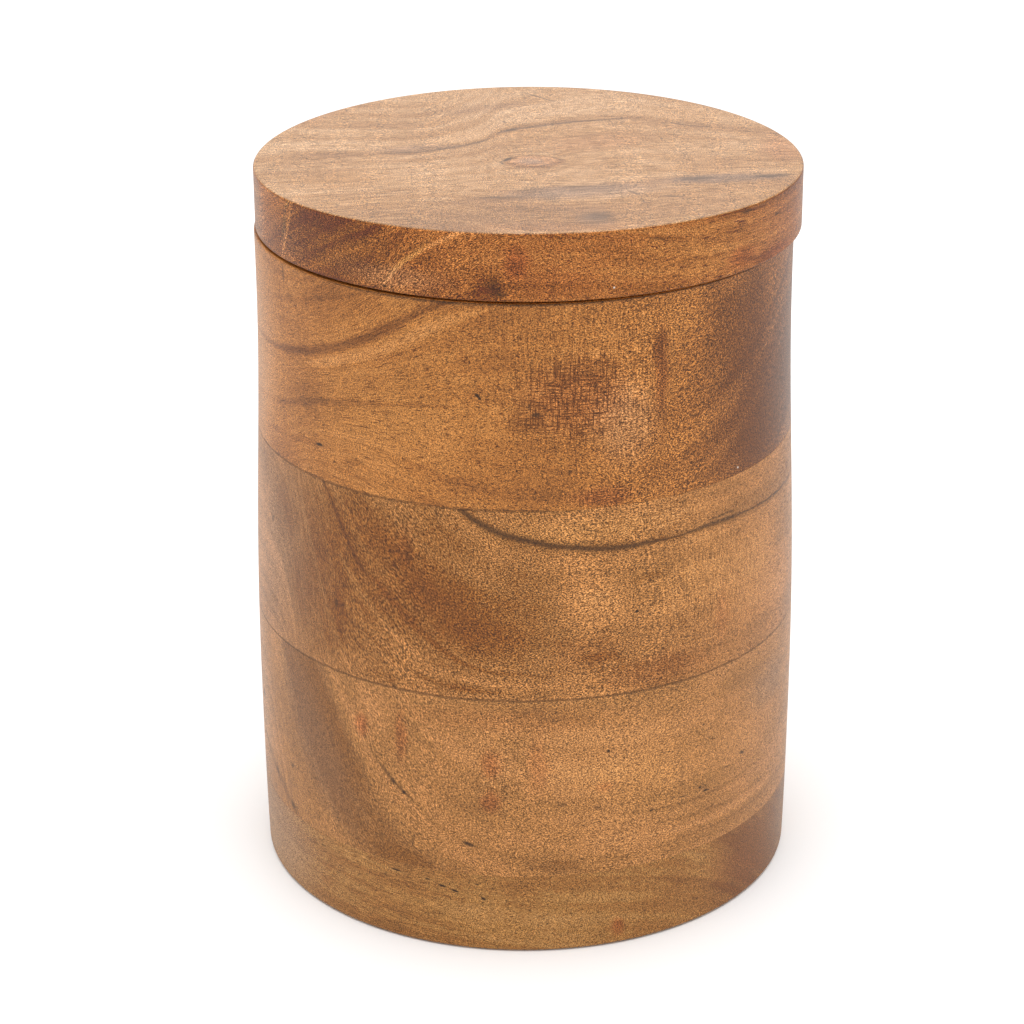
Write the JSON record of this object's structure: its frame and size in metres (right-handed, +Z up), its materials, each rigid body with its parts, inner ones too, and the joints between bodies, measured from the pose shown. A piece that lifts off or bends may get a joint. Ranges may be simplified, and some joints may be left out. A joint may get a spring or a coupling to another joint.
{
  "type": "wooden storage jar",
  "caption": "Round wooden jar turned from stacked, glued boards, with a bored-out inside and a lift-off plug lid held by a soft seal ring.",
  "frame": {"origin": "middle of the flat underside, on the surface the jar stands on", "axes": "+Z up along the jar's axis, out of the mouth; +X to the right and -Y towards the viewer of the picture"},
  "size_m": [0.113, 0.113, 0.1506],
  "materials": {
    "base_wood": "satin oiled hardwood",
    "lower_ring_wood": "satin oiled hardwood",
    "middle_ring_wood": "satin oiled hardwood",
    "upper_ring_wood": "satin oiled hardwood",
    "lid_wood": "satin oiled hardwood",
    "plug_wood": "sanded hardwood",
    "seal_silicone": "translucent white silicone"
  },
  "bodies": {
    "jar": {"base_disc": "base_wood", "lower_ring": "lower_ring_wood", "middle_ring": "middle_ring_wood", "upper_ring": "upper_ring_wood"},
    "seal": {"seal_ring": "seal_silicone"},
    "lid": {"lid_disc": "lid_wood", "lid_plug": "plug_wood"}
  },
  "joints": [
    {"name": "lid_lift", "type": "slide", "parent": "jar", "child": "seal", "axis": [0, 0, 1], "range_m": [0, 0.08]},
    {"name": "lid_turn", "type": "hinge", "parent": "seal", "child": "lid", "pos_m": [0, 0, 0.1314], "axis": [0, 0, 1], "continuous": true}
  ]
}
